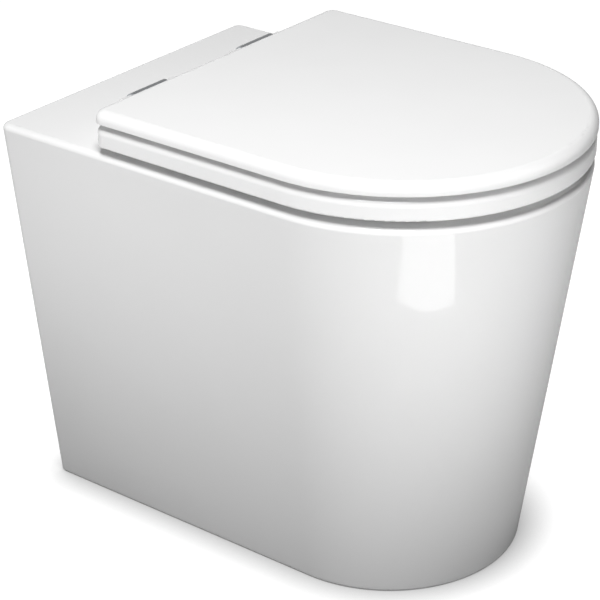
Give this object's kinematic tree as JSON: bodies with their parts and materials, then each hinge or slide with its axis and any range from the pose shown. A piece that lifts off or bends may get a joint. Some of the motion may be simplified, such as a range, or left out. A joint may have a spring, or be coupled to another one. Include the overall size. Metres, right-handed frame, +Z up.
{
  "type": "toilet pan with seat and lid",
  "caption": "Floor-standing back-to-wall toilet: tapered D-shaped ceramic pan with a bowl and trapway, damped hinges, a ring seat and a flat lid that lift.",
  "frame": {"origin": "on the floor, under the middle of the overall box", "axes": "+X to the right seen from the front, +Y back towards the building's wall, +Z up"},
  "size_m": [0.36, 0.524, 0.4495],
  "materials": {
    "vitreous_china": "white glaze, gloss",
    "duroplast": "white pressed duroplast, gloss",
    "chrome": "polished",
    "steel": "plain",
    "nylon": "moulded, natural",
    "button_plastic": "moulded, grey",
    "buffer_rubber": "white elastomer",
    "seal_rubber": "black rubber"
  },
  "bodies": {
    "pan": {"pan_skirt": "vitreous_china", "pan_deck": "vitreous_china", "bowl": "vitreous_china", "trapway": "vitreous_china", "outlet_spigot": "vitreous_china", "inlet_horn": "vitreous_china", "flush_cone": "seal_rubber", "lid_damper": "nylon", "seat_damper": "nylon", "hinge_gasket_left": "seal_rubber", "hinge_rosette_left": "chrome", "hinge_stud_left": "steel", "hinge_sleeve_left": "seal_rubber", "hinge_nut_left": "nylon", "hinge_block_left": "chrome", "button_spring_left": "steel", "hinge_gasket_right": "seal_rubber", "hinge_rosette_right": "chrome", "hinge_stud_right": "steel", "hinge_sleeve_right": "seal_rubber", "hinge_nut_right": "nylon", "hinge_block_right": "chrome", "button_spring_right": "steel"},
    "seat": {"seat": "duroplast", "seat_damper_shaft": "steel", "seat_buffer_front_left": "buffer_rubber", "seat_buffer_front_right": "buffer_rubber", "seat_buffer_rear_left": "buffer_rubber", "seat_buffer_rear_right": "buffer_rubber"},
    "lid": {"lid": "duroplast", "lid_damper_shaft": "steel", "lid_buffer_front_left": "buffer_rubber", "lid_buffer_front_right": "buffer_rubber", "lid_buffer_rear_left": "buffer_rubber", "lid_buffer_rear_right": "buffer_rubber"},
    "release_button_left": {"release_button_left": "button_plastic"},
    "release_button_right": {"release_button_right": "button_plastic"}
  },
  "joints": [
    {"name": "seat_hinge", "type": "hinge", "parent": "pan", "child": "seat", "pos_m": [0, 0.156, 0.4295], "axis": [-1, 0, 0], "range_deg": [0, 90]},
    {"name": "lid_hinge", "type": "hinge", "parent": "seat", "child": "lid", "pos_m": [0, 0.156, 0.4295], "axis": [-1, 0, 0], "range_deg": [0, 90]},
    {"name": "release_left", "type": "slide", "parent": "pan", "child": "release_button_left", "axis": [-1, 0, 0], "range_m": [0, 0.003], "stiffness_N_per_m": 600, "springref_m": -0.002, "deforming": ["button_spring_left"]},
    {"name": "release_right", "type": "slide", "parent": "pan", "child": "release_button_right", "axis": [1, 0, 0], "range_m": [0, 0.003], "stiffness_N_per_m": 600, "springref_m": -0.002, "deforming": ["button_spring_right"]}
  ]
}
